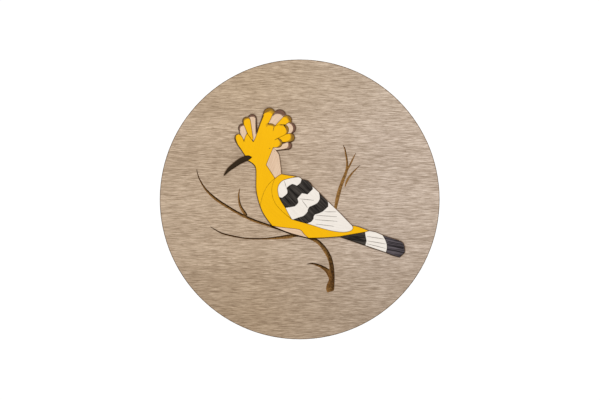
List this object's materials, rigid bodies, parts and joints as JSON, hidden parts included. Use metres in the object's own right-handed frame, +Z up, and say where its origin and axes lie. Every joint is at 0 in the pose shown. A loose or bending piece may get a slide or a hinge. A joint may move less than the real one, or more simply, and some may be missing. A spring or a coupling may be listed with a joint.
{
  "type": "round wooden wall plaque",
  "caption": "Round oak wall plaque with a hoopoe of fitted, painted wooden pieces glued on, perched on a branch engraved in the board.",
  "frame": {"origin": "middle of the board's back, where it lies against the wall", "axes": "+Y out of the back, into the wall, so the picture faces -Y; +X to the viewer's right; +Z up as it hangs"},
  "size_m": [0.3, 0.0123, 0.3],
  "materials": {
    "oak_board": "weathered oak, matt",
    "yellow_wood": "thin sheet, painted yellow, satin",
    "pinkish_wood": "thin sheet, pale pinkish wood, matt",
    "white_wood": "thin sheet, painted warm white, satin",
    "black_wood": "thin sheet, painted black, satin"
  },
  "bodies": {
    "root": {"board": "oak_board", "beak": "black_wood", "head_and_neck": "yellow_wood", "nape": "pinkish_wood", "crest_feather_1": "pinkish_wood", "crest_feather_2": "yellow_wood", "crest_feather_3": "pinkish_wood", "crest_feather_4": "pinkish_wood", "crest_feather_5": "yellow_wood", "crest_feather_6": "pinkish_wood", "crest_feather_7": "yellow_wood", "crest_feather_8": "pinkish_wood", "breast_and_rump": "yellow_wood", "mantle": "yellow_wood", "thigh": "pinkish_wood", "wing_shoulder_white": "white_wood", "wing_upper_bar_black": "black_wood", "wing_middle_bar_white": "white_wood", "wing_lower_bar_black": "black_wood", "wing_primaries_white": "white_wood", "tail_root_black": "black_wood", "tail_band_white": "white_wood", "tail_end_black": "black_wood"}
  },
  "joints": []
}
